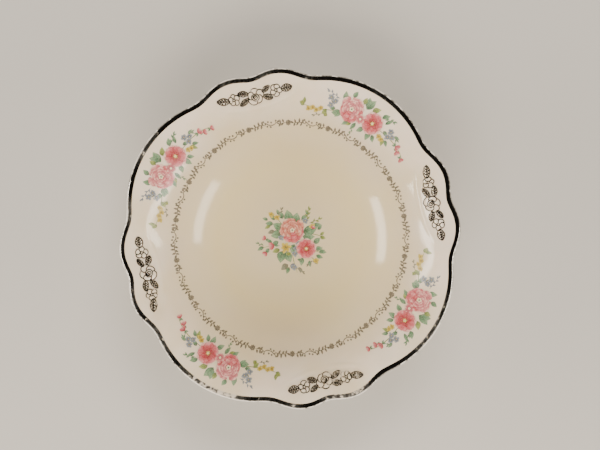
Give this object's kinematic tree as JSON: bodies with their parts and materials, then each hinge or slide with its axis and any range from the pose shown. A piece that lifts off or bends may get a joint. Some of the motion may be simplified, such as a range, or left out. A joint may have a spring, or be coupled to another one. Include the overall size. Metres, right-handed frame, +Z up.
{
  "type": "serving bowl",
  "caption": "Round open porcelain serving bowl with a lobed, scalloped rim, moulded garlands, a foot ring, printed rose sprays and a metal-banded lip.",
  "frame": {"origin": "middle of the foot ring's bearing face, on the surface that the bowl stands on", "axes": "+Z up out of the bowl; a moulded garland lies on each of +X, +Y, -X and -Y, and a rose spray between each pair"},
  "size_m": [0.2358, 0.2358, 0.0631],
  "materials": {
    "biscuit_porcelain": "unglazed fired porcelain, ground smooth on the foot",
    "ivory_glaze": "clear gloss glaze over ivory porcelain",
    "platinum_lustre": "thin fired platinum lustre, bright, slightly worn",
    "grey_print": "grey-brown printed enamel, fired on",
    "flower_enamel": "printed on-glaze enamel in pinks, greens, yellow and blue"
  },
  "bodies": {
    "root": {"clay_body": "biscuit_porcelain", "glaze_coat": "ivory_glaze", "base_glaze": "ivory_glaze", "rim_band": "platinum_lustre", "border_print": "grey_print", "centre_bouquet": "flower_enamel", "rose_spray_1": "flower_enamel", "rose_spray_2": "flower_enamel", "rose_spray_3": "flower_enamel", "rose_spray_4": "flower_enamel", "garland_line_1": "platinum_lustre", "garland_line_2": "platinum_lustre", "garland_line_3": "platinum_lustre", "garland_line_4": "platinum_lustre"}
  },
  "joints": []
}
